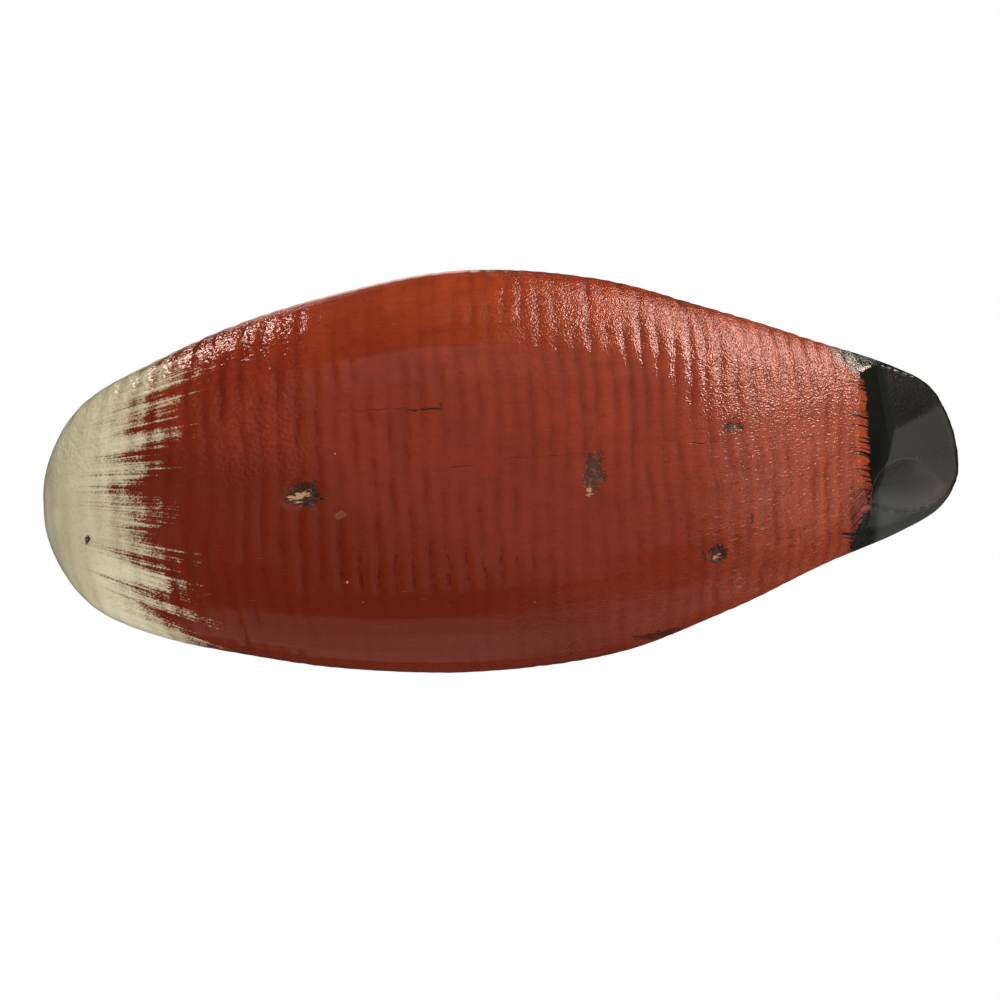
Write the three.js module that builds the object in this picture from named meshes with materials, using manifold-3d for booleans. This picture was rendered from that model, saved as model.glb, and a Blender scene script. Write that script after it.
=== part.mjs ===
// A hand-carved wooden duck decoy: a solid body cut from one block and planed flat underneath,
// and a neck, head and bill cut from a second block and glued on the body's neck seat.
// Millimetres. +X runs forward to the bill, +Y to the bird's left, +Z up.
// The origin is on the flat of the underside, halfway between breast and tail.

import * as THREE from 'three';
import { mergeVertices } from 'three/addons/utils/BufferGeometryUtils.js';
import Module from 'manifold-3d';

const BODY_LENGTH = 355;
const NECK_SEAT_HEIGHT = 92;
const NECK_FROM_BREAST = 80;
const GLUE_LINE = 0.3;

const BREAST_X = BODY_LENGTH / 2;

// Stations of the body, from breast to tail: distance from the breast, breadth on the left and
// on the right, height of the underside, of the widest line and of the back, and how full the
// section is below the widest line. A fullness of 2 is round, and more is squarer.
// The flanks differ by a few millimetres, as the carver left them.
const BODY_LINES = [
  { from: 0, left: -3.6, right: 3.6, under: 46, widest: 46, back: 46, full: 2.8 },
  { from: 5, left: 16.2, right: 21.8, under: 28, widest: 45, back: 61, full: 2.8 },
  { from: 20, left: 37, right: 42.5, under: 13, widest: 43.5, back: 80, full: 2.8 },
  { from: 50, left: 52, right: 56.5, under: 2.5, widest: 42, back: 93.5, full: 2.8 },
  { from: 80, left: 63.6, right: 63.9, under: -1.5, widest: 41, back: 97, full: 2.8 },
  { from: 110, left: 71.5, right: 70, under: -2.5, widest: 40, back: 95, full: 2.8 },
  { from: 165, left: 79.9, right: 74.7, under: -2.5, widest: 40, back: 91, full: 2.8 },
  { from: 220, left: 74.2, right: 70.4, under: -2, widest: 41, back: 85, full: 2.8 },
  { from: 260, left: 61, right: 57.4, under: 1, widest: 42, back: 76, full: 3.1 },
  { from: 300, left: 46, right: 40.5, under: 13, widest: 42, back: 63, full: 4.2 },
  { from: 330, left: 34.4, right: 29.4, under: 21.5, widest: 39.5, back: 51, full: 5.5 },
  { from: 346, left: 24.9, right: 20.8, under: 26, widest: 38, back: 45.5, full: 6 },
  { from: 353, left: 11.2, right: 10.3, under: 28, widest: 37, back: 42.5, full: 6 },
  { from: 355, left: -3.8, right: 3.8, under: 37, widest: 37, back: 37, full: 6 },
];
const BACK_FULLNESS = 2.15;

// The knife cuts below the tail. Each is a plane through one point, as a distance from the
// breast, a distance to the left and a height, with its rise per millimetre towards the tail
// and towards the left. The dish is a round hollow gouged into the right-hand cut.
const STEP_CUT = { from: 313.7, left: 5, height: 17.2, rise: 0.55, riseLeft: 0.02 };
const MIDDLE_CUT = { from: 328, left: 9.2, height: 25.1, rise: 0.29, riseLeft: 0.1 };
const LEFT_CUT = { from: 328, left: 9.2, height: 25.1, rise: 0.34, riseLeft: -0.01 };
const RIGHT_CUT = { from: 324.2, left: -0.9, height: 23, rise: 0.3, riseLeft: 0.18 };
const DISH = { from: 332, left: -18, height: 22.3, rise: 0.3, riseLeft: 0.18, across: 33, depth: 1.1 };

// Sections of the neck, head and bill, in order from the neck seat up, over and out to the tip.
// Each lies in a plane across the piece, from a point on the throat side to a point on the
// crown side. A point is its distance forward of the neck's middle and its height above the
// seat, and half is half the section's breadth.
const HEAD_LINES = [
  { throat: [28, 0], crown: [-29, 0], half: 22 },
  { throat: [24.5, 7], crown: [-26, 9], half: 19.6 },
  { throat: [22.6, 15], crown: [-24.5, 21], half: 19 },
  { throat: [24.5, 21], crown: [-24.5, 34], half: 20.4 },
  { throat: [29, 23.5], crown: [-20, 47], half: 22.4 },
  { throat: [35, 24.5], crown: [-8, 57.5], half: 23 },
  { throat: [41, 24.5], crown: [9, 62], half: 21.6 },
  { throat: [46, 24.5], crown: [25, 58.5], half: 18 },
  { throat: [51, 24.5], crown: [38, 50], half: 14 },
  { throat: [60, 24.5], crown: [53, 42], half: 12 },
  { throat: [72, 24.5], crown: [69, 37.5], half: 13 },
  { throat: [84, 25], crown: [83, 34.5], half: 15.2 },
  { throat: [93.5, 26], crown: [93.5, 33], half: 14.6 },
  { throat: [99, 27.5], crown: [99, 31.5], half: 9 },
];
const HEAD_FULLNESS = 2.2;

// The eyes are two low domes left standing on the cheeks.
const EYE_CURVE_RADIUS = 6;
const EYE_PLACE = { forward: 17, left: 17.6, up: 46 };

const BODY_SEGMENTS = { around: 40, along: 78 };
const HEAD_SEGMENTS = { around: 28, along: 52 };
const EYE_SEGMENTS = { around: 20, along: 14 };
const DISH_SEGMENTS = { around: 128, along: 96 };
const CUT_BLOCK_SIZE = 120;
const SAME_PLACE = 1e-4;

const paint = (color, roughness) => new THREE.MeshStandardMaterial({ color, roughness, metalness: 0 });
const bodyPaint = paint(0x8c3a28, 0.35);
const headPaint = paint(0x1d2f26, 0.4);

const wasm = await Module();
wasm.setup();

// Gives a closed geometry to the boolean library as a solid that is not inside out.
function toSolid(geometry) {
  const bare = geometry.clone();
  bare.deleteAttribute('normal');
  bare.deleteAttribute('uv');
  const merged = mergeVertices(bare, SAME_PLACE);
  const vertProperties = new Float32Array(merged.attributes.position.array);
  const triVerts = new Uint32Array(merged.index.array);
  const solid = new wasm.Manifold(new wasm.Mesh({ numProp: 3, vertProperties, triVerts }));
  return solid.volume() < 0 ? toSolid(turnFaces(merged)) : solid;
}

function turnFaces(geometry) {
  const index = geometry.index.array;
  for (let i = 0; i < index.length; i += 3) {
    [index[i + 1], index[i + 2]] = [index[i + 2], index[i + 1]];
  }
  return geometry;
}

// Takes a finished solid back as a mesh with a name and a paint.
function toMesh(solid, name, material) {
  const { vertProperties, triVerts } = solid.getMesh();
  const geometry = new THREE.BufferGeometry();
  geometry.setAttribute('position', new THREE.BufferAttribute(new Float32Array(vertProperties), 3));
  geometry.setIndex(new THREE.BufferAttribute(new Uint32Array(triVerts), 1));
  geometry.computeVertexNormals();
  const mesh = new THREE.Mesh(geometry, material);
  mesh.name = name;
  return mesh;
}

// Where a point of a unit circle goes on a fuller section. The circle's rounding errors are
// taken out first, so that the two ends of a ring meet.
function reach(value, fullness) {
  const size = Math.abs(value) < 1e-9 ? 0 : Math.abs(value);
  return Math.sign(value) * size ** (2 / fullness);
}

const alongBody = (from) => BREAST_X - from;

// Reads the body's lines at any distance from the breast. Distances are spaced as on a half
// circle, so that the form closes round at both ends.
function bodyLines() {
  const keys = Object.keys(BODY_LINES[0]).filter((key) => key !== 'from');
  const turn = (from) => Math.acos(THREE.MathUtils.clamp(1 - (2 * from) / BODY_LENGTH, -1, 1));
  const places = BODY_LINES.map((station) => turn(station.from));
  const values = BODY_LINES.flatMap((station) => keys.map((key) => station[key]));
  const curve = new THREE.CubicInterpolant(places, values, keys.length, new Float64Array(keys.length));
  return (from) => {
    const row = curve.evaluate(turn(from));
    return Object.fromEntries(keys.map((key, k) => [key, row[k]]));
  };
}

// One point of a section, which reaches as far to the left as to the right of its own middle,
// and has its own height above and below the widest line.
function sectionPoint(row, side, up) {
  const fullness = up > 0 ? BACK_FULLNESS : row.full;
  const middle = (row.left - row.right) / 2;
  const half = (row.left + row.right) / 2;
  const depth = up > 0 ? row.back - row.widest : row.widest - row.under;
  return { y: middle + half * reach(side, fullness), z: row.widest + depth * reach(up, fullness) };
}

// The body before the tail is undercut: a ball drawn out to the body's lines, with its poles at
// breast and tail, then planed flat below, and on top where the neck stands.
function bodyBlank() {
  const lines = bodyLines();
  const ball = new THREE.SphereGeometry(1, BODY_SEGMENTS.around, BODY_SEGMENTS.along);
  const vertices = ball.attributes.position;
  for (let i = 0; i < vertices.count; i += 1) {
    const from = (BODY_LENGTH * (1 - vertices.getY(i))) / 2;
    const ring = Math.hypot(vertices.getX(i), vertices.getZ(i));
    const atPole = ring < 1e-6;
    const side = atPole ? 0 : vertices.getZ(i) / ring;
    const up = atPole ? 0 : vertices.getX(i) / ring;
    const point = sectionPoint(lines(from), side, up);
    vertices.setXYZ(i, alongBody(from), point.y, THREE.MathUtils.clamp(point.z, 0, NECK_SEAT_HEIGHT));
  }
  return toSolid(ball);
}

function upFrom(cut) {
  return new THREE.Vector3(cut.rise, -cut.riseLeft, 1).normalize();
}

function placeOf(cut) {
  return new THREE.Vector3(alongBody(cut.from), cut.left, cut.height);
}

// What a flat cut takes away: a block whose top face lies on the cut's plane.
function belowPlane(cut) {
  const block = new THREE.BoxGeometry(CUT_BLOCK_SIZE, CUT_BLOCK_SIZE, CUT_BLOCK_SIZE);
  block.translate(0, 0, -CUT_BLOCK_SIZE / 2);
  block.applyQuaternion(new THREE.Quaternion().setFromUnitVectors(new THREE.Vector3(0, 0, 1), upFrom(cut)));
  block.translate(...placeOf(cut).toArray());
  return toSolid(block);
}

// What the gouge takes away: a large ball that stands up through the cut's plane by the depth
// of the dish, so that the dish's rim is a circle of the given size.
function belowDish(dish) {
  const rimRadius = dish.across / 2;
  const radius = (rimRadius ** 2 + dish.depth ** 2) / (2 * dish.depth);
  const ball = new THREE.SphereGeometry(radius, DISH_SEGMENTS.around, DISH_SEGMENTS.along);
  const centre = placeOf(dish).addScaledVector(upFrom(dish), dish.depth - radius);
  ball.translate(...centre.toArray());
  return toSolid(ball);
}

// The three flats meet in a shallow hollow, which the step closes towards the belly.
function tailUndercut() {
  const flats = belowPlane(MIDDLE_CUT).intersect(belowPlane(LEFT_CUT)).intersect(belowPlane(RIGHT_CUT));
  return flats.add(belowDish(DISH)).intersect(belowPlane(STEP_CUT));
}

// The neck, head and bill before the eyes: a drum whose rings are laid on the sections.
function headForm() {
  const top = HEAD_LINES.length - 1;
  const places = HEAD_LINES.map((row, i) => i);
  const values = HEAD_LINES.flatMap((row) => [...row.throat, ...row.crown, row.half]);
  const curve = new THREE.CubicInterpolant(places, values, 5, new Float64Array(5));
  const drum = new THREE.CylinderGeometry(1, 1, top, HEAD_SEGMENTS.around, HEAD_SEGMENTS.along);
  const vertices = drum.attributes.position;
  for (let i = 0; i < vertices.count; i += 1) {
    const [throatX, throatZ, crownX, crownZ, half] = curve.evaluate(vertices.getY(i) + top / 2);
    const side = reach(vertices.getX(i), HEAD_FULLNESS);
    const towardsCrown = (1 + reach(-vertices.getZ(i), HEAD_FULLNESS)) / 2;
    const x = THREE.MathUtils.lerp(throatX, crownX, towardsCrown);
    const z = THREE.MathUtils.lerp(throatZ, crownZ, towardsCrown);
    vertices.setXYZ(i, x, half * side, z);
  }
  return toSolid(drum);
}

function eye(side) {
  const dome = new THREE.SphereGeometry(EYE_CURVE_RADIUS, EYE_SEGMENTS.around, EYE_SEGMENTS.along);
  dome.translate(EYE_PLACE.forward, side * EYE_PLACE.left, EYE_PLACE.up);
  return toSolid(dome);
}

const body = toMesh(bodyBlank().subtract(tailUndercut()), 'body', bodyPaint);

const head = toMesh(headForm().add(eye(1)).add(eye(-1)), 'head', headPaint);
head.position.set(alongBody(NECK_FROM_BREAST), 0, NECK_SEAT_HEIGHT + GLUE_LINE);

const decoy = new THREE.Group();
decoy.add(body, head);

export default decoy;
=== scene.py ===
import math

import bpy
import numpy as np
from mathutils import Matrix, Vector, noise


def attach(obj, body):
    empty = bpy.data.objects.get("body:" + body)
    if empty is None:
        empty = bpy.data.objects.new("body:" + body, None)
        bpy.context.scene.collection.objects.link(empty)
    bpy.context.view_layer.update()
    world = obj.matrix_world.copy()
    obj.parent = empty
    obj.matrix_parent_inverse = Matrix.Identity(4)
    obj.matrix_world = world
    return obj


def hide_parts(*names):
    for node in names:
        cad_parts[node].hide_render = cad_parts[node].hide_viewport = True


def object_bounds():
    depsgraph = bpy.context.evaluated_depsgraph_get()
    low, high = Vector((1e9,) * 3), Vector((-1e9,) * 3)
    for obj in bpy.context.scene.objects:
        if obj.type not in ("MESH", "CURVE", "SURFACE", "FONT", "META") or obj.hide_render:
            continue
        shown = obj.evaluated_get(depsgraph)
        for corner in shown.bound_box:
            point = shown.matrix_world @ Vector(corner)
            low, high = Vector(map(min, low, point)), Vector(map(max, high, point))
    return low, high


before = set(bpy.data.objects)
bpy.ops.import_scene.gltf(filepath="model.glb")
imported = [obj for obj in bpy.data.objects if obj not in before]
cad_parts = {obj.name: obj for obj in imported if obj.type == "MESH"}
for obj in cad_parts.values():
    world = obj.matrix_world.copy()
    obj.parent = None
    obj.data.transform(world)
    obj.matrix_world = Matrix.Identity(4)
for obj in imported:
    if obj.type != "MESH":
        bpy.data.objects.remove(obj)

cad_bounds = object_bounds()

# The body is one block of softwood, roughed out with a drawknife and worked over crosswise with
# a coarse rasp. It starts as the plain solid, given a skin fine enough to be carved.
SKIN_MESH = 0.0011
CORNER_ROUNDING = 45
TAIL_ROUNDING = 5
TAIL_STARTS_X = -0.125
RIM_ROUNDING = 18
RIM_STARTS_X = -0.163


def hold(piece):
    """Makes one piece the only selected one."""
    bpy.ops.object.select_all(action="DESELECT")
    piece.select_set(True)
    bpy.context.view_layer.objects.active = piece


def finish_with(piece, kind, **settings):
    """Gives the piece one modifier and applies it."""
    modifier = piece.modifiers.new(kind.title(), kind)
    for name, value in settings.items():
        setattr(modifier, name, value)
    hold(piece)
    bpy.ops.object.modifier_apply(modifier=modifier.name)


def carving_blank(node, name, mesh_size):
    """A copy of a solid with its doubles merged and an even skin of small faces."""
    piece = bpy.data.objects.new(name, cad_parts[node].data.copy())
    bpy.context.scene.collection.objects.link(piece)
    piece.data.materials.clear()
    hold(piece)
    bpy.ops.object.mode_set(mode="EDIT")
    bpy.ops.mesh.select_all(action="SELECT")
    bpy.ops.mesh.remove_doubles(threshold=0.00001)
    bpy.ops.object.mode_set(mode="OBJECT")
    finish_with(piece, "REMESH", mode="VOXEL", voxel_size=mesh_size)
    return piece


def places_of(piece):
    values = np.empty(len(piece.data.vertices) * 3)
    piece.data.vertices.foreach_get("co", values)
    return values.reshape(-1, 3)


def normals_of(piece):
    values = np.empty(len(piece.data.vertices) * 3)
    piece.data.vertices.foreach_get("normal", values)
    return values.reshape(-1, 3)


def move_to(piece, places):
    """Moves every point of the piece, but keeps it inside the box of the plain solids."""
    places = np.clip(places, *cad_bounds)
    piece.data.vertices.foreach_set("co", places.ravel())
    piece.data.update()


def sand(piece, rounds, share=1.0):
    """Evens out the facets without shrinking the form: each pass in is followed by one out."""
    places = places_of(piece)
    ends = np.empty(len(piece.data.edges) * 2, int)
    piece.data.edges.foreach_get("vertices", ends)
    here, there = ends.reshape(-1, 2).T
    near, far = np.concatenate([here, there]), np.concatenate([there, here])
    count = np.bincount(near, minlength=len(places))[:, None]
    for _ in range(rounds):
        for pull in (0.5, -0.51):
            sums = [np.bincount(near, places[far, k], len(places)) for k in range(3)]
            places = places + pull * np.reshape(share, (-1, 1)) * (np.stack(sums, 1) / count - places)
    move_to(piece, places)


body = carving_blank("body", "carved_body", SKIN_MESH)

# Below the tail four flat cuts meet, made with a knife, and a gouge hollowed a dish out of one.
# Each cut is a plane through a place, which rises towards the tail and towards the left. They
# are set exactly, so that their edges are crisp, and the rest of the body is sanded.
STEP_CUT = ((-0.1362, 0.0050, 0.0172), (0.55, 0.02))
MIDDLE_CUT = ((-0.1505, 0.0092, 0.0251), (0.29, 0.10))
LEFT_CUT = ((-0.1505, 0.0092, 0.0251), (0.34, -0.01))
RIGHT_CUT = ((-0.1467, -0.0009, 0.0230), (0.30, 0.18))
DISH_MIDDLE = (-0.1545, -0.0180)
DISH_RADIUS = 0.0165
DISH_DEPTH = 0.0011
CUT_REACH = 0.0005


def cut_height(cut, x, y):
    (cut_x, cut_y, cut_z), (rise, rise_left) = cut
    return cut_z + rise * (cut_x - x) + rise_left * (y - cut_y)


def undercut_height(x, y):
    """The height of the cuts and the dish over each place of the underside."""
    flats = np.minimum(cut_height(MIDDLE_CUT, x, y), cut_height(LEFT_CUT, x, y))
    flats = np.minimum(flats, cut_height(RIGHT_CUT, x, y))
    from_dish = np.hypot(x - DISH_MIDDLE[0], y - DISH_MIDDLE[1])
    hollow = DISH_DEPTH * (1 - (from_dish / DISH_RADIUS) ** 2)
    flats = np.maximum(flats, cut_height(RIGHT_CUT, x, y) + hollow)
    return np.minimum(flats, cut_height(STEP_CUT, x, y))


places = places_of(body)
x, y, z = places.T
undercut = undercut_height(x, y)
on_cuts = (np.abs(z - undercut) < CUT_REACH) & (normals_of(body)[:, 2] < -0.5)
places[on_cuts, 2] = undercut[on_cuts]
move_to(body, places)
sand(body, CORNER_ROUNDING, np.where(on_cuts, 0.0, 1.0))
sand(body, TAIL_ROUNDING, np.where(x < TAIL_STARTS_X, 1.0, 0.0))
sand(body, RIM_ROUNDING, np.where(x < RIM_STARTS_X, 1.0, 0.0))

# The rasp left a ridge about every 6 mm, straight across the block, closer together towards the
# tail. The ridges waver and break off. They are shallow on the breast and faint on the back.
RIDGE_PITCH = 0.0062
PITCH_GROWTH = 0.006
RIDGE_DEPTH = 0.00030
SWELL_DEPTH = 0.00016


def wander(places, size, offset=0.0):
    """Smooth noise from about -1 to 1 that changes over the given size."""
    return np.array([noise.noise(Vector(place)) for place in places / size + offset])


def soft_step(value, low, high):
    share = np.clip((value - low) / (high - low), 0, 1)
    return share * share * (3 - 2 * share)


def ridge_count(places):
    """The number of ridges between a place and the middle of the body, in parts of a ridge."""
    turns = np.log(1 + PITCH_GROWTH * places[:, 0] / RIDGE_PITCH) / PITCH_GROWTH
    turns = turns + 0.42 * wander(places, 0.042, 5.0) + 0.15 * wander(places, 0.010, 9.0)
    return turns + 0.03 * wander(places, 0.004, 21.0)


def valley_shape(turns):
    """1 in the bottom of a valley between two ridges, and 0 on a crest."""
    across = np.abs(turns - np.round(turns))
    return 0.8 * (0.5 + 0.5 * np.cos(2 * math.pi * across)) + 0.2 * np.exp(-(across / 0.16) ** 2)


def valley_strength(places, turns):
    """How deep each valley is along its own length: it fades in and out apart from its neighbours."""
    x, y, z = places.T
    own = wander(np.stack([np.round(turns) * 3.7, y / 0.016, z / 0.016], 1), 1.0, 3.0)
    uneven = 0.68 + 0.90 * own + 0.35 * wander(places, 0.006, 2.0)
    on_breast = soft_step(x, 0.105, 0.14)
    on_knife_work = soft_step(-x, 0.133, 0.138)
    on_shoulder = soft_step(np.abs(y), 0.036, 0.050) * soft_step(x, -0.02, 0.03) * soft_step(-x, -0.075, -0.06)
    on_side = soft_step(z, 0.022, 0.036)
    at_quarters = np.maximum(soft_step(-x, 0.015, 0.060), soft_step(x, 0.065, 0.08))
    at_quarters = at_quarters * soft_step(y, 0.010, 0.034) * (1 - on_side)
    on_back = soft_step(z, 0.055, 0.075)
    kept = (1 - 0.4 * on_breast) * (1 - on_knife_work) * (1 - 0.75 * on_side) * (1 - 0.4 * on_back)
    kept = kept * (1 - 0.6 * on_shoulder) * (1 + 0.8 * at_quarters)
    return np.clip(uneven, 0.14, 1.3) * kept


places = places_of(body)
turns = ridge_count(places)
strength = valley_strength(places, turns)
swell = 1 + wander(places, 0.03, 40.0)
depth = RIDGE_DEPTH * valley_shape(turns) * strength + SWELL_DEPTH * swell

# Paint and wood have flaked away in a few places, and a nail hole is left in the breast.
# Each is a shallow, ragged hollow: its middle as x and y, its length and breadth, its depth.
WORN_PLACE = (-0.0347, -0.0010)
FLAKES = [
    ((0.0701, -0.0033), (0.0066, 0.0046), 0.0007),
    (WORN_PLACE, (0.0042, 0.0070), 0.0003),
    ((-0.0774, -0.0327), (0.0032, 0.0028), 0.0005),
    ((-0.0858, 0.0128), (0.0042, 0.0013), 0.0003),
    ((0.1509, -0.0153), (0.0011, 0.0014), 0.0008),
]


def flake(places, middle, size, edge=0.35):
    """1 inside a ragged hollow of the underside and 0 outside."""
    x, y, z = places.T
    distance = np.hypot((x - middle[0]) / size[0], (y - middle[1]) / size[1])
    distance = distance + 0.45 * wander(places, 0.0035, 3.0)
    return (1 - soft_step(distance, 1 - edge, 1 + edge)) * (z < 0.03)


for middle, size, deep in FLAKES:
    depth = depth + deep * flake(places, middle, size)
move_to(body, places - normals_of(body) * depth[:, None])

for name, values in (("turns", turns), ("strength", strength)):
    mark = body.data.attributes.new(name, "FLOAT", "POINT")
    mark.data.foreach_set("value", values.astype(np.float32))


# The back is hidden from the photograph and plain, so it keeps fewer faces than the underside.
BACK_STARTS_Z = 0.052
FACES_KEPT = 0.72

back_group = body.vertex_groups.new(name="back")
back_group.add([int(i) for i in np.flatnonzero(places[:, 2] > BACK_STARTS_Z)], 1.0, "REPLACE")
finish_with(body, "DECIMATE", ratio=FACES_KEPT, vertex_group="back", vertex_group_factor=10)
body.vertex_groups.clear()
body.data.shade_smooth()
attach(body, "root")
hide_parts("body")


# The paint is oil paint, brushed on by hand in three areas: a cream breast, a red-brown belly and
# a black tail. It has gone glossy with handling; the valleys between the ridges carry painted shade.
class Wire:
    """A value inside a finish, on which sums can be written."""

    def __init__(self, finish, socket):
        self.finish = finish
        self.socket = socket

    def sum(self, operation, first, second=0.0):
        return self.finish.node("ShaderNodeMath", {"operation": operation}, {0: first, 1: second})

    def __add__(self, other):
        return self.sum("ADD", self, other)

    def __sub__(self, other):
        return self.sum("SUBTRACT", self, other)

    def __mul__(self, other):
        return self.sum("MULTIPLY", self, other)

    def __truediv__(self, other):
        return self.sum("DIVIDE", self, other)

    def __radd__(self, other):
        return self.sum("ADD", other, self)

    def __rsub__(self, other):
        return self.sum("SUBTRACT", other, self)

    def __rmul__(self, other):
        return self.sum("MULTIPLY", other, self)

    def __rtruediv__(self, other):
        return self.sum("DIVIDE", other, self)

    def __abs__(self):
        return self.sum("ABSOLUTE", self)

    def __pow__(self, other):
        return self.sum("POWER", self, other)


class Finish:
    """A finish being mixed. It works in the piece's own coordinates, in metres."""

    def __init__(self, name):
        self.material = bpy.data.materials.new(name)
        self.material.use_nodes = True
        self.tree = self.material.node_tree
        self.shader = self.tree.nodes["Principled BSDF"]
        self.place = self.node("ShaderNodeTexCoord", {}, {}, "Object")
        self.x = self.node("ShaderNodeSeparateXYZ", {}, {0: self.place}, "X")
        self.y = self.node("ShaderNodeSeparateXYZ", {}, {0: self.place}, "Y")
        self.z = self.node("ShaderNodeSeparateXYZ", {}, {0: self.place}, "Z")

    def node(self, kind, settings, sockets, output=0):
        """Adds one node, with its settings and the values or wires of its sockets."""
        made = self.tree.nodes.new(kind)
        for name, value in settings.items():
            setattr(made, name, value)
        for name, value in sockets.items():
            self.feed(made.inputs[name], value)
        return Wire(self, made.outputs[output])

    def feed(self, socket, value):
        if isinstance(value, Wire):
            self.tree.links.new(value.socket, socket)
        elif socket.type == "RGBA":
            socket.default_value = (*value, 1.0)
        else:
            socket.default_value = value

    def step(self, value, low, high):
        """0 where the value is below low, 1 above high, and soft between. It runs either way."""
        limits = {"Value": value, "From Min": low, "From Max": high}
        return self.node("ShaderNodeMapRange", {"interpolation_type": "SMOOTHSTEP"}, limits)

    def blend(self, share, first, second):
        """The first colour where the share is 0 and the second where it is 1."""
        return self.node("ShaderNodeMix", {"data_type": "RGBA"}, {0: share, 6: first, 7: second}, 2)

    def most(self, first, second):
        return first.sum("MAXIMUM", first, second)

    def least(self, first, second):
        return first.sum("MINIMUM", first, second)

    def point(self, x, y, z):
        return self.node("ShaderNodeCombineXYZ", {}, {0: x, 1: y, 2: z})

    def mottle(self, size, place=None, detail=3.0, rough=0.5):
        """Cloudy noise around 0.5 that changes over the given size."""
        sockets = {"Vector": place or self.place, "Scale": 1 / size, "Detail": detail, "Roughness": rough}
        return self.node("ShaderNodeTexNoise", {}, sockets)

    def stretched(self, along, across, upward=None):
        """The piece's coordinates, squeezed so that noise of size 1 is drawn out along the body."""
        return self.point(self.x / along, self.y / across, self.z / (upward or across))

    def mark(self, name):
        """A value that the carving has left on the mesh."""
        return self.node("ShaderNodeAttribute", {"attribute_name": name}, {}, "Fac")

    def bump(self, height, distance, below=None):
        sockets = {"Height": height, "Distance": distance}
        if below:
            sockets["Normal"] = below
        return self.node("ShaderNodeBump", {}, sockets)

    def set(self, **sockets):
        for name, value in sockets.items():
            self.feed(self.shader.inputs[name.replace("_", " ").title().replace("Ior", "IOR")], value)


def srgb(red, green, blue):
    """A colour as it is read off a screen, in the shader's own measure."""
    values = [value / 255 for value in (red, green, blue)]
    return tuple(v / 12.92 if v < 0.04045 else ((v + 0.055) / 1.055) ** 2.4 for v in values)


RED = srgb(133, 47, 26)
DEEP_RED = srgb(105, 34, 15)
LIT_RED = srgb(158, 64, 31)
ORANGE_RED = srgb(174, 80, 53)
STRIP_ORANGE = srgb(180, 80, 44)
CREAM = srgb(228, 220, 190)
DULL_CREAM = srgb(208, 198, 164)
BLACK = srgb(22, 22, 19)
GREY_BLACK = srgb(36, 36, 32)
SCUFFED_AND_SHEEN_GREY = srgb(48, 49, 44)
SCUFFED_FLANK = srgb(70, 71, 66)
GLINT_GREY = srgb(168, 162, 150)
BACK_BROWN = srgb(44, 32, 25)
GRIME_AND_SHADE = srgb(84, 15, 5)
FINGER_SHADE = srgb(74, 9, 3)
CREAM_GRIME_AND_SHADE = srgb(134, 120, 88)
MAROON = srgb(74, 26, 20)
BARE_WOOD = srgb(176, 140, 96)
OLD_DIRT = srgb(34, 19, 11)
OLIVE_DIRT = srgb(54, 36, 16)
SPECK_AND_GLINT = srgb(206, 150, 118)

BRUSH_FAN = (0.246, 0.0083)
CREAM_EDGE_X = 0.1311
CREAM_EDGE_SWEEP = 0.27


def cream_cover(paint, valley):
    """Where the cream breast lies over the red, in strokes that fan out from ahead of the breast."""
    ahead = BRUSH_FAN[0] - paint.x
    aside = paint.y - BRUSH_FAN[1]
    angle = paint.x.sum("ARCTAN2", aside, ahead)
    hairs = paint.mottle(1.0, paint.point(angle * 210, ahead * 45, paint.z * 30), 1.0, 0.5)
    tufts = paint.mottle(1.0, paint.point(angle * 75, ahead * 22, paint.z * 20), 1.0, 0.5)
    strokes = paint.mottle(1.0, paint.point(angle * 22, ahead * 12, paint.z * 12), 1.0)
    dry = paint.mottle(0.0008, detail=2.0, rough=0.6)
    edge = CREAM_EDGE_X - CREAM_EDGE_SWEEP * abs(paint.y) - 0.14 * paint.most(paint.y, 0.0)
    cover = (paint.x - edge) / 0.0048 + (strokes - 0.5) * 8.0 + (tufts - 0.5) * 6.5 + (hairs - 0.5) * 6.0
    cover = cover + (dry - 0.5) * 6.5 - valley * 1.2
    return paint.step(cover, -1.2, 1.4) * (0.70 + 0.30 * paint.step(cover, 0.5, 4.0))


TAIL_EDGE_X = -0.1388


def black_cover(paint):
    """Where the black of the tail lies over the red, with a spiky brushed edge."""
    aside = paint.y + paint.z * 0.5
    hairs = paint.mottle(1.0, paint.point(paint.x / 0.02, aside / 0.0008, 0.0), 2.0, 0.6)
    tufts = paint.mottle(1.0, paint.point(paint.x / 0.03, aside / 0.0030, 0.0), 1.0)
    drift = paint.mottle(1.0, paint.point(paint.x / 0.2, aside / 0.007, 0.0), 1.0)
    dry = paint.mottle(0.0007, detail=2.0)
    low_side = paint.step(paint.y, -0.016, -0.028) * 0.007
    high_side = paint.step(paint.y, 0.026, 0.040) * paint.step(paint.z, 0.036, 0.026)
    edge = TAIL_EDGE_X + low_side + high_side * 0.010
    reach = (drift - 0.5) * 0.003 + paint.step(hairs, 0.42, 0.76) * (0.0035 + 0.009 * paint.step(tufts, 0.45, 0.70))
    reach = reach + (dry - 0.5) * (0.0004 + 0.022 * high_side)
    return paint.step(edge + reach - paint.x, -0.0003, 0.0003 + 0.001 * high_side)


def grey_cuts(paint):
    """1 on the two knife cuts that have caught the light, with a crisp edge, and 0 elsewhere."""
    middle = cut_height(MIDDLE_CUT, paint.x, paint.y)
    right = cut_height(RIGHT_CUT, paint.x, paint.y)
    step = cut_height(STEP_CUT, paint.x, paint.y)
    left = cut_height(LEFT_CUT, paint.x, paint.y)
    grey = paint.least(middle, right)
    dark = paint.least(step, left)
    return paint.step(dark - grey, -0.00001, 0.00005) * paint.step(paint.z - grey, 0.0014, 0.0009)


def distance_from_dish(paint):
    return ((paint.x - DISH_MIDDLE[0]) ** 2 + (paint.y - DISH_MIDDLE[1]) ** 2) ** 0.5


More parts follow.
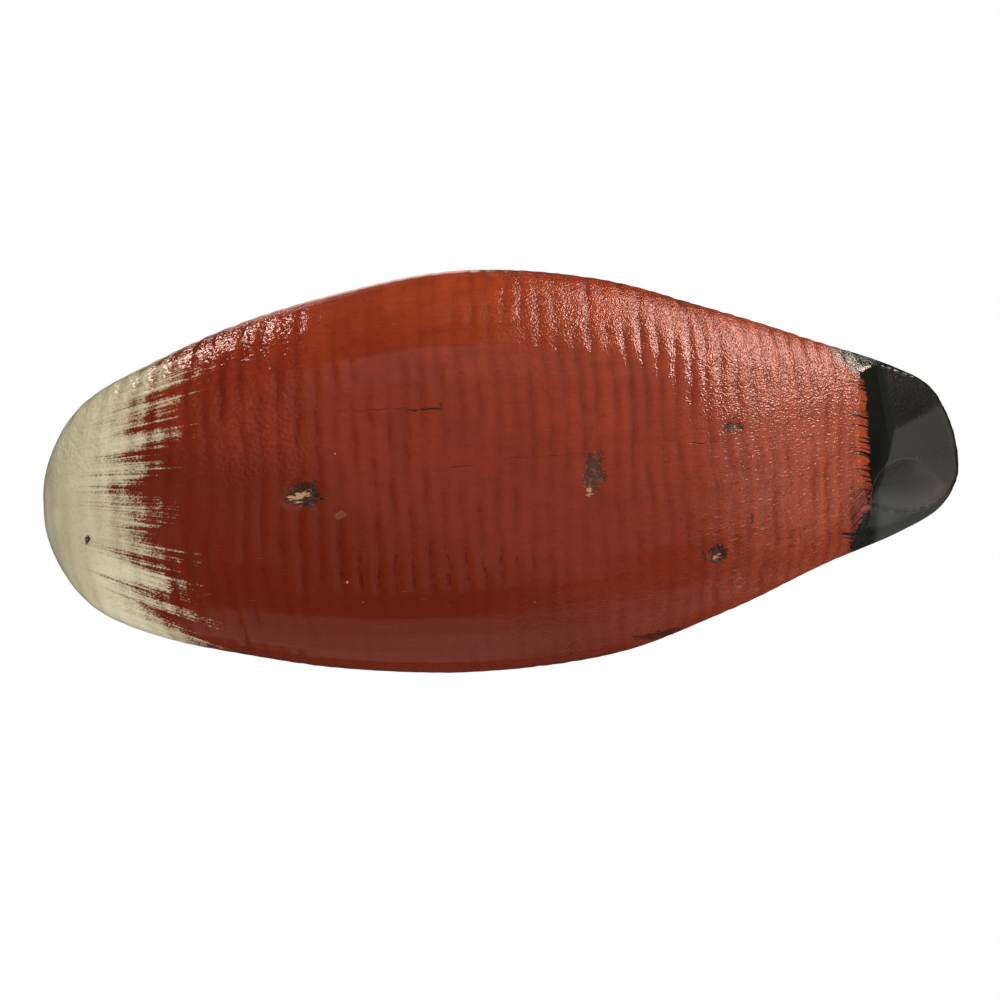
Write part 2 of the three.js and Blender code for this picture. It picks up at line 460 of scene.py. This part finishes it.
def beyond_cuts(paint):
    """1 on the flank below the knife cuts, which is scuffed as grey as they are, and 0 on them."""
    hollow = paint.most(DISH_DEPTH * (1 - (distance_from_dish(paint) / DISH_RADIUS) ** 2), 0.0)
    above = paint.z - cut_height(RIGHT_CUT, paint.x, paint.y) - hollow
    below_cuts = paint.step(paint.y, -0.010, -0.018) * paint.step(paint.x, -0.1385, -0.1430)
    below_cuts = below_cuts * paint.step(paint.z, 0.056, 0.044)
    below_dish = paint.step(distance_from_dish(paint), DISH_RADIUS * 0.96, DISH_RADIUS) * paint.step(paint.y, -0.025, -0.028)
    return below_cuts * paint.most(paint.step(above, 0.00003, 0.00018), below_dish)


def dish_rim_highlight(paint):
    """1 on the thin edge that the gouge left round the upper left of its dish, which carries a painted highlight."""
    line = paint.step(abs(distance_from_dish(paint) - DISH_RADIUS), 0.0004, 0.0001) * paint.step(paint.z, 0.036, 0.032)
    upper_left = paint.x + paint.y * 1.2
    return line * paint.step(upper_left, -0.167, -0.157)


def back_cover(paint):
    """The dark back, brushed down to a line along the sides."""
    strokes = paint.mottle(1.0, paint.stretched(0.02, 0.0016), 3.0, 0.6)
    line = 0.064 + paint.x * 0.06
    cover = (paint.z - line) / 0.004 + (strokes - 0.5) * 5.0 - paint.step(paint.x, 0.105, 0.135) * 12.0
    return paint.step(cover, -0.3, 0.3)


# Damage in the paint. Each flake shows old dirt and, inside it, some bare wood: the wood's middle
# and its length and breadth. Marks are dark dents, and cracks follow the grain.
FLAKE_WOOD = [
    ((0.0706, -0.0040), (0.0028, 0.0014)),
    ((-0.0325, -0.0080), (0.0009, 0.0011)),
    ((-0.0772, -0.0334), (0.0011, 0.0010)),
    ((-0.0858, 0.0128), (0.0004, 0.0004)),
    ((0.1511, -0.0158), (0.0002, 0.0002)),
]
MARKS = [
    ((-0.0908, -0.0205), (0.0006, 0.0020)),
    ((-0.1591, -0.0020), (0.0005, 0.0014)),
    ((-0.0550, -0.0625), (0.0085, 0.0014)),
    ((-0.0620, -0.0610), (0.0050, 0.0009)),
    ((-0.0860, 0.0160), (0.0012, 0.0008)),
    ((0.0189, 0.0257), (0.0005, 0.0012)),
]
BLISTER = ((0.0566, -0.0115), (0.0020, 0.0013))
CRACKS = [
    (0.0185, 0.0315, 0.0247, 0.00052),
    (0.0315, 0.0560, 0.0256, 0.00010),
    (-0.0806, -0.0691, 0.0076, 0.00024),
    (-0.0330, -0.0030, 0.0058, 0.00009),
    (0.0090, 0.0170, 0.0037, 0.00016),
]


def ragged_spot(paint, middle, size, ragged, amount=3.6):
    """1 inside a ragged spot on the underside and 0 outside."""
    across = ((paint.x - middle[0]) / size[0]) ** 2 + ((paint.y - middle[1]) / size[1]) ** 2
    return paint.step(across ** 0.5 + (ragged - 0.5) * amount, 1.0, 0.82) * paint.step(paint.z, 0.035, 0.03)


def crack_cover(paint):
    """1 in the cracks, which wander off their lines and open and close."""
    stray = (paint.mottle(0.005, detail=3.0) - 0.5) * 0.0022
    gape = paint.step(paint.mottle(0.0025, detail=1.0), 0.22, 0.48)
    cover = 0.0
    for start, end, y, width in CRACKS:
        aside = abs(paint.y + stray - y)
        along = paint.step(paint.x, start - 0.001, start + 0.002) * paint.step(paint.x, end + 0.001, end - 0.002)
        cover = paint.most(along * paint.step(aside, width, width * 0.3) * gape, cover)
    return cover * paint.step(paint.z, 0.02, 0.015)


def paint_body():
    paint = Finish("body_paint")
    clouds = paint.mottle(0.028, detail=4.0)
    fine = paint.mottle(0.0020, detail=3.0, rough=0.65)
    streaks = paint.mottle(1.0, paint.stretched(0.016, 0.0008), 3.0, 0.6)

    turns = paint.mark("turns") + (paint.mottle(0.004, detail=2.0) - 0.5) * 0.16
    strength = paint.mark("strength")
    across = abs(turns - turns.sum("ROUND", turns))
    crest = paint.point(turns.sum("FLOOR", turns) * 3.7, paint.y / 0.05, paint.z / 0.05)
    tone = paint.mottle(1.0, crest, 1.0)
    valley = paint.step(across, 0.48, 0.06) * strength
    broken = paint.step(paint.mottle(0.0045, detail=3.0, rough=0.6), 0.40, 0.56)
    line = paint.step(across, 0.14, 0.03) * paint.step(strength, 0.3, 0.9) * broken
    cells = paint.mottle(1.0, paint.point(turns.sum("FLOOR", turns) * 7.1, paint.y / 0.007, paint.z / 0.007), 2.0)

    # Painted light and shade: the red is darker on the right flank towards the breast, and lighter on the left flank,
    # towards the tail and on the left near the breast, as the light falls. Towards the tail it also turns more orange,
    # partly the paint's own tone and partly painted light.
    upper_left = paint.step(paint.x, 0.035, 0.080) * paint.step(paint.y, 0.000, 0.030)
    painted_light_level = paint.y * 0.9 - paint.x * 0.55 + (clouds - 0.5) * 0.05 + upper_left * 0.024
    red = paint.blend(paint.step(painted_light_level, -0.055, -0.006), DEEP_RED, RED)
    red = paint.blend(paint.step(painted_light_level, 0.000, 0.075) * 0.9, red, LIT_RED)
    red = paint.blend(paint.step(paint.x, -0.06, -0.13) * 0.6, red, ORANGE_RED)
    strip = paint.step(paint.x + (streaks - 0.5) * 0.004, -0.1312, -0.1330) * paint.step(paint.y, -0.006, -0.002)
    strip = strip * paint.step(paint.y, 0.027, 0.022)
    red = paint.blend(strip * 0.85, red, STRIP_ORANGE)
    red = paint.blend(paint.step(tone, 0.35, 0.65) * 0.22, red, DEEP_RED)
    red = paint.blend(paint.step(streaks, 0.5, 0.75) * 0.3, red, DEEP_RED)
    red = paint.blend(paint.step(cells, 0.48, 0.68) * 0.25, red, DEEP_RED)
    red = paint.blend(paint.step(fine, 0.52, 0.8) * 0.4, red, GRIME_AND_SHADE)

    patchy = paint.step(paint.mottle(0.022, detail=2.0), 0.42, 0.60)
    # Painted shade: low on the belly, and on the left near the breast, the sheen ends in fingers along the ridges, and
    # the valleys between the fingers are painted dark.
    low_finger_spot = ((paint.x - 0.026) / 0.040) ** 2 + ((paint.y + 0.0315) / 0.0075) ** 2
    side_finger_spot = ((paint.x - 0.071) / 0.011) ** 2 + ((paint.y - 0.018) / 0.010) ** 2
    finger_shade_area = paint.most(paint.step(low_finger_spot, 1.5, 0.5), paint.step(side_finger_spot, 1.5, 0.5) * 0.5)
    # Painted shade: the valleys between the ridges are darkened, broadly and in thin broken lines.
    red = paint.blend(valley * 0.24, red, GRIME_AND_SHADE)
    red = paint.blend(line * (0.05 + 0.20 * patchy), red, GRIME_AND_SHADE)
    finger = paint.step(across + (cells - 0.5) * 0.3, 0.17, 0.05) * broken * finger_shade_area
    red = paint.blend(finger * 0.6, red, FINGER_SHADE)
    hairline = paint.mottle(1.0, paint.point(paint.x / 0.008, paint.y / 0.0005, paint.z / 0.008), 2.0, 0.6)
    red = paint.blend(paint.step(hairline, 0.68, 0.78) * 0.12, red, SPECK_AND_GLINT)
    red = paint.blend(paint.step(hairline, 0.32, 0.25) * 0.25, red, GRIME_AND_SHADE)
    pin = paint.node("ShaderNodeTexVoronoi", {}, {"Vector": paint.place, "Scale": 1 / 0.010})
    pin_size = paint.mottle(0.010, detail=0.0) * 0.12 - 0.036
    pin_mark = paint.step(pin - pin_size, 0.008, -0.008) * paint.step(fine, 0.40, 0.55)
    red = paint.blend(pin_mark * 0.8, red, SPECK_AND_GLINT)

    cream = paint.blend(paint.step(clouds, 0.35, 0.65), DULL_CREAM, CREAM)
    cream = paint.blend(paint.step(fine, 0.5, 0.8) * 0.25, cream, CREAM_GRIME_AND_SHADE)
    cream = paint.blend(paint.step(streaks, 0.5, 0.8) * 0.2, cream, CREAM_GRIME_AND_SHADE)
    # Painted shade in the valleys of the cream as well.
    cream = paint.blend(valley * 0.2 + line * 0.15, cream, CREAM_GRIME_AND_SHADE)
    colour = paint.blend(cream_cover(paint, valley), red, cream)

    slanting = paint.point((paint.x - paint.y) / 0.008, (paint.x + paint.y) / 0.0012, 0.0)
    thin = paint.step(paint.mottle(1.0, slanting, 2.0), 0.34, 0.56)
    maroon = paint.step(paint.y, -0.0085, -0.0135) * paint.step(paint.x, -0.1268, -0.1318)
    colour = paint.blend(maroon * thin * 0.85, colour, MAROON)
    # Painted reflection: the two cuts under the tail that face the light are painted grey, standing in for the sheen
    # on them, and the left cut is painted a little lighter too.
    grey = grey_cuts(paint)
    black = paint.blend(paint.step(clouds, 0.4, 0.6) * 0.5, BLACK, GREY_BLACK)
    left_face = paint.step(abs(paint.z - cut_height(LEFT_CUT, paint.x, paint.y)), 0.0004, 0.0002) * (1 - grey)
    black = paint.blend(paint.most(grey * 0.33, left_face * 0.35), black, SCUFFED_AND_SHEEN_GREY)
    black = paint.blend(beyond_cuts(paint), black, SCUFFED_FLANK)
    # Painted highlight: a lighter line along the upper left rim of the dish.
    black = paint.blend(dish_rim_highlight(paint) * 0.4, black, srgb(80, 82, 75))
    # Painted highlight: pale specks on the black of the upper tail flank stand for glints of light on its grainy
    # gloss.
    glint_area = paint.step(paint.y, 0.026, 0.034) * paint.step(paint.x, -0.149, -0.142)
    glint_area = glint_area * paint.step(paint.z - cut_height(STEP_CUT, paint.x, paint.y), 0.0003, 0.0010)
    glint_area = glint_area * paint.step(paint.z, 0.038, 0.026)
    painted_glints = paint.step(paint.mottle(0.0007, detail=2.0, rough=0.6), 0.46, 0.62)
    black = paint.blend(glint_area * painted_glints * 0.75, black, GLINT_GREY)
    back = paint.blend(paint.step(clouds, 0.4, 0.6), BACK_BROWN, BLACK)
    colour = paint.blend(back_cover(paint), colour, back)
    colour = paint.blend(black_cover(paint), colour, black)

    ragged = paint.mottle(0.0042, detail=5.0, rough=0.75)
    splinters = paint.mottle(1.0, paint.stretched(0.0026, 0.0012), 4.0, 0.7)
    porous = paint.step(paint.mottle(0.0016, detail=3.0, rough=0.7), 0.30, 0.52)
    off = 0.0
    for (middle, size, deep), (wood_middle, wood_size) in zip(FLAKES, FLAKE_WOOD):
        dirt = OLIVE_DIRT if middle == WORN_PLACE else OLD_DIRT
        broken_up = 6.5 if size[0] * size[1] < 0.00001 else 3.6
        cover = ragged_spot(paint, middle, size, ragged, broken_up) * (0.45 + 0.55 * porous)
        wood = ragged_spot(paint, wood_middle, wood_size, splinters, 7.0)
        colour = paint.blend(cover * (0.85 if middle == WORN_PLACE else 0.95), colour, dirt)
        colour = paint.blend(wood, colour, BARE_WOOD)
        off = paint.most(paint.most(cover, wood), off)
    colour = paint.blend(ragged_spot(paint, *BLISTER, ragged, 5.0) * 0.13, colour, SPECK_AND_GLINT)
    for middle, size in MARKS:
        mark = ragged_spot(paint, middle, size, splinters, 3.0)
        colour = paint.blend(mark * 0.85, colour, OLD_DIRT)
        off = paint.most(mark, off)
    cracks = crack_cover(paint)
    colour = paint.blend(cracks * 0.9, colour, OLD_DIRT)

    towards_edge = paint.step(abs(paint.y), 0.030, 0.055) * paint.step(paint.x, 0.012, -0.020)
    towards_tail = paint.step(paint.x, -0.050, -0.085)
    at_breast = paint.step(paint.x, 0.058, 0.074) * paint.step(paint.y, -0.006, 0.012)
    peel_area = paint.most(paint.most(towards_edge, towards_tail), at_breast)
    peel_area = paint.most(peel_area, paint.step(paint.z, 0.027, 0.034) * 0.5)
    smooth_cut = paint.step(paint.x, -0.1355, -0.138) * paint.step(paint.z, 0.054, 0.048)
    scored_area = towards_tail * paint.step(paint.y, 0.020, 0.006)
    coarse_grain = paint.mottle(0.0016, detail=0.0) * (1.2 + 1.1 * at_breast)
    grain = coarse_grain + paint.mottle(0.0006, detail=0.0) * (1.9 - 1.2 * at_breast)
    brush = paint.mottle(1.0, paint.stretched(0.009, 0.0006), 2.0, 0.5)
    scored = paint.point((paint.x - 0.16 * paint.y) / 0.0045, (paint.y + 0.16 * paint.x) / 0.0007, paint.z / 0.0007)
    scratches = paint.mottle(1.0, scored, 1.5, 0.5)
    scratched = scored_area * paint.step(paint.x, -0.134, -0.128)
    # Painted highlight: the lighter scratch lines stand for light caught along the scratches; other scratch lines are
    # darkened.
    colour = paint.blend(paint.step(scratches, 0.62, 0.74) * scratched * patchy * 0.3, colour, SPECK_AND_GLINT)
    colour = paint.blend(paint.step(scratches, 0.36, 0.27) * scratched * 0.5, colour, GRIME_AND_SHADE)
    height = grain * (0.12 + 0.88 * peel_area) * (1 - 0.6 * scored_area) * 0.00015
    height = height + brush * 0.000025 + scratches * scored_area * 0.00018
    height = height * (1 - 0.85 * smooth_cut) - line * 0.00003
    height = height - paint.most(cracks, off) * 0.00022
    normal = paint.bump(height, 1.0)
    handled = paint.step(paint.x, -0.070, -0.098) * paint.step(paint.y, -0.014, 0.018) * (1 - smooth_cut)
    gloss = 0.10 + 0.08 * paint.mottle(0.01, detail=3.0) + 0.10 * handled + 0.4 * off
    paint.set(base_color=colour, roughness=gloss, normal=normal, ior=1.5)
    return paint.material


body.data.materials.append(paint_body())


# The head, neck and bill are a second block, glued on the flat of the body. It is carved
# smoother than the body, with a line cut round the root of the bill and a nostril on each side.
head = carving_blank("head", "carved_head", 0.0009)
sand(head, 12)

BILL_ROOT_X = 0.1385
NOSTRIL = (0.1560, 0.1285)
LIP_HEIGHT = 0.1205

places = places_of(head)
x, y, z = places.T
root_line = np.exp(-((x - BILL_ROOT_X - 0.10 * (z - 0.130)) / 0.0009) ** 2) * (z > 0.115)
nostril = np.exp(-(((x - NOSTRIL[0]) / 0.0030) ** 2 + ((z - NOSTRIL[1]) / 0.0012) ** 2) ** 2)
lip = np.exp(-((z - LIP_HEIGHT) / 0.0008) ** 2) * soft_step(x, 0.142, 0.146) * soft_step(0.193 - x, 0, 0.004)
depth = 0.0006 * root_line + 0.0009 * nostril + 0.0005 * lip
move_to(head, places - normals_of(head) * depth[:, None])
head.data.shade_smooth()
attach(head, "root")
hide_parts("head")

EYE_MIDDLE = (0.1145, 0.1383)


def paint_head():
    paint = Finish("head_paint")
    clouds = paint.mottle(0.02, detail=4.0)
    feathers = paint.blend(paint.step(clouds, 0.35, 0.65), srgb(14, 30, 22), srgb(26, 46, 34))
    bill = paint.blend(paint.step(clouds, 0.35, 0.65), srgb(22, 22, 21), srgb(38, 37, 35))
    colour = paint.blend(paint.step(paint.x, 0.1385, 0.1390), feathers, bill)
    from_eye = ((paint.x - EYE_MIDDLE[0]) ** 2 + (paint.z - EYE_MIDDLE[1]) ** 2) ** 0.5
    beside = paint.step(abs(paint.y), 0.0195, 0.02)
    colour = paint.blend(paint.step(from_eye, 0.0044, 0.0041) * beside, colour, srgb(206, 160, 40))
    colour = paint.blend(paint.step(from_eye, 0.0023, 0.0021) * beside, colour, srgb(8, 8, 8))
    grain = paint.mottle(0.0007, detail=2.0, rough=0.7)
    normal = paint.bump(grain, 0.00008)
    paint.set(base_color=colour, roughness=0.2, normal=normal, ior=1.5)
    return paint.material


head.data.materials.append(paint_head())


# The stage: a plain pale floor under the decoy. It is seen from above only, so that the camera
# can look at the underside, and it fades out into the white around it.
FLOOR_SIZE = 3.0
FLOOR_DROP = 0.0006

bpy.ops.object.select_all(action="DESELECT")
bpy.ops.mesh.primitive_plane_add(size=FLOOR_SIZE, location=(0, 0, -FLOOR_DROP))
floor = bpy.context.object
floor.name = "floor"
bpy.ops.object.transform_apply(location=True)


def one_sided(colour):
    paint = Finish("floor_paint")
    paint.set(base_color=colour, roughness=0.9)
    behind = paint.node("ShaderNodeNewGeometry", {}, {}, "Backfacing")
    distance = (paint.x ** 2 + paint.y ** 2) ** 0.5
    faded = paint.step(distance, 0.5, 1.4)
    clear = paint.node("ShaderNodeBsdfTransparent", {}, {})
    share = paint.most(behind, faded)
    surface = paint.node("ShaderNodeMixShader", {}, {0: share, 1: Wire(paint, paint.shader.outputs[0]), 2: clear})
    paint.tree.links.new(surface.socket, paint.tree.nodes["Material Output"].inputs["Surface"])
    return paint.material


floor.data.materials.append(one_sided((0.78, 0.78, 0.77)))
floor.visible_diffuse = False
floor.visible_glossy = False
floor.visible_transmission = False
floor.visible_shadow = False

# Light: a dim white studio with two soft lamps above. Below are a wide soft lamp that only
# lights, and plain panels that only show as reflections in the gloss, as in the photograph.
world = bpy.data.worlds.new("studio")
bpy.context.scene.world = world
world.use_nodes = True
dim = world.node_tree.nodes["Background"]
dim.inputs["Color"].default_value = (0.9, 0.95, 1, 1)
dim.inputs["Strength"].default_value = 0.03
white = world.node_tree.nodes.new("ShaderNodeBackground")
white.inputs["Color"].default_value = (1, 1, 1, 1)
rays = world.node_tree.nodes.new("ShaderNodeLightPath")
choice = world.node_tree.nodes.new("ShaderNodeMixShader")
world.node_tree.links.new(rays.outputs["Is Camera Ray"], choice.inputs[0])
world.node_tree.links.new(dim.outputs[0], choice.inputs[1])
world.node_tree.links.new(white.outputs[0], choice.inputs[2])
world.node_tree.links.new(choice.outputs[0], world.node_tree.nodes["World Output"].inputs["Surface"])


def lamp(name, place, aim, size, brightness, colour=(1, 1, 1)):
    """A rectangular soft light that faces the point it is aimed at."""
    light = bpy.data.lights.new(name, "AREA")
    light.shape = "RECTANGLE"
    light.size, light.size_y = size
    light.energy = brightness * math.pi * size[0] * size[1]
    light.color = colour
    holder = bpy.data.objects.new(name, light)
    bpy.context.scene.collection.objects.link(holder)
    towards = (Vector(aim) - Vector(place)).normalized()
    side = Vector((0, 1, 0)) if abs(towards.x) > 0.7 else Vector((1, 0, 0))
    side = (side - towards * towards.dot(side)).normalized()
    holder.matrix_world = Matrix((side, side.cross(towards), -towards)).transposed().to_4x4()
    holder.location = place
    return holder


def light_only(*place_and_rest, **rest):
    lamp(*place_and_rest, **rest).visible_glossy = False


def shine_only(*place_and_rest, **rest):
    lamp(*place_and_rest, **rest).visible_diffuse = False


WARM_LIGHT = (1, 0.72, 0.62)

light_only("wash", (-0.25, 0.62, -0.32), (0, 0, 0), (0.5, 0.35), 12.4, (1, 0.97, 0.92))
light_only("low_wash", (-0.15, -0.70, -0.22), (0, 0, 0), (0.6, 0.3), 9.6, (1, 0.98, 0.95))
light_only("breast_wash", (0.42, -0.05, -0.28), (0.15, 0, 0), (0.3, 0.3), 3.7, (1, 0.98, 0.93))
shine_only("panel", (-0.01, 0.29, -0.90), (-0.01, 0.29, 0.0), (0.56, 0.70), 0.21)
shine_only("panel_low", (-0.10, -0.205, -0.90), (-0.10, -0.205, 0.0), (0.40, 0.29), 0.20)
shine_only("panel_far", (-0.015, 0.41, -0.88), (-0.015, 0.41, 0.0), (0.55, 0.46), 0.16)
shine_only("panel_right", (-0.575, 0.15, -0.90), (-0.575, 0.15, 0.0), (0.55, 1.0), 0.36)
shine_only("window", (-0.90, 0.27, -0.55), (0, 0.27, -0.55), (0.30, 0.40), 0.68)
shine_only("window_foot", (-0.90, -0.12, -0.87), (0, -0.12, -0.87), (0.45, 0.46), 0.85)
shine_only("window_low", (-0.90, -0.45, -0.62), (0, -0.45, -0.62), (0.30, 0.50), 0.5)
shine_only("window_heart", (-0.90, 0.68, -0.55), (0, 0.1, -0.1), (0.44, 0.60), 22, WARM_LIGHT)
shine_only("window_sill", (-0.90, 0.12, -0.74), (0, 0.12, -0.74), (0.44, 0.28), 2.3, WARM_LIGHT)
shine_only("lamp_right", (-0.56, 1.00, -0.14), (-0.06, 0.04, 0.0), (0.32, 1.10), 10.0, WARM_LIGHT)
shine_only("lamp_left", (0.60, 1.00, 0.22), (0.10, 0.05, 0.01), (0.12, 0.62), 15.0, WARM_LIGHT)
shine_only("lamp_left_side", (0.52, 1.00, 0.26), (0.10, 0.05, 0.01), (0.04, 0.50), 5.0, WARM_LIGHT)
shine_only("side_low", (-0.1, -1.2, -0.28), (-0.1, 0, -0.28), (1.8, 1.45), 0.26)
shine_only("rim", (0.25, 0.62, 1.1), (0.05, 0.05, 0.03), (0.5, 0.6), 1.1, WARM_LIGHT)
light_only("key_above", (0.5, 0.7, 1.1), (0, 0, 0.05), (0.5, 0.5), 15)
light_only("fill_above", (-0.7, -0.8, 1.2), (0, 0, 0.05), (0.7, 0.7), 6)

# The camera looks straight up at the underside, from where the photograph was taken.
CAMERA_PLACE = (-0.0005, -0.009, -0.4282)
CAMERA_TURN = math.radians(3.06)

camera = bpy.data.objects.new("camera", bpy.data.cameras.new("camera"))
bpy.context.scene.collection.objects.link(camera)
camera.data.sensor_fit = "HORIZONTAL"
camera.data.sensor_width = 36
camera.data.lens = 43.236
camera.data.clip_start = 0.01
right = Vector((-math.cos(CAMERA_TURN), -math.sin(CAMERA_TURN), 0))
up = Vector((-math.sin(CAMERA_TURN), math.cos(CAMERA_TURN), 0))
back = Vector((0, 0, -1))
camera.matrix_world = Matrix.Translation(CAMERA_PLACE) @ Matrix((right, up, back)).transposed().to_4x4()
bpy.context.scene.camera = camera
bpy.context.scene.view_settings.view_transform = "Standard"
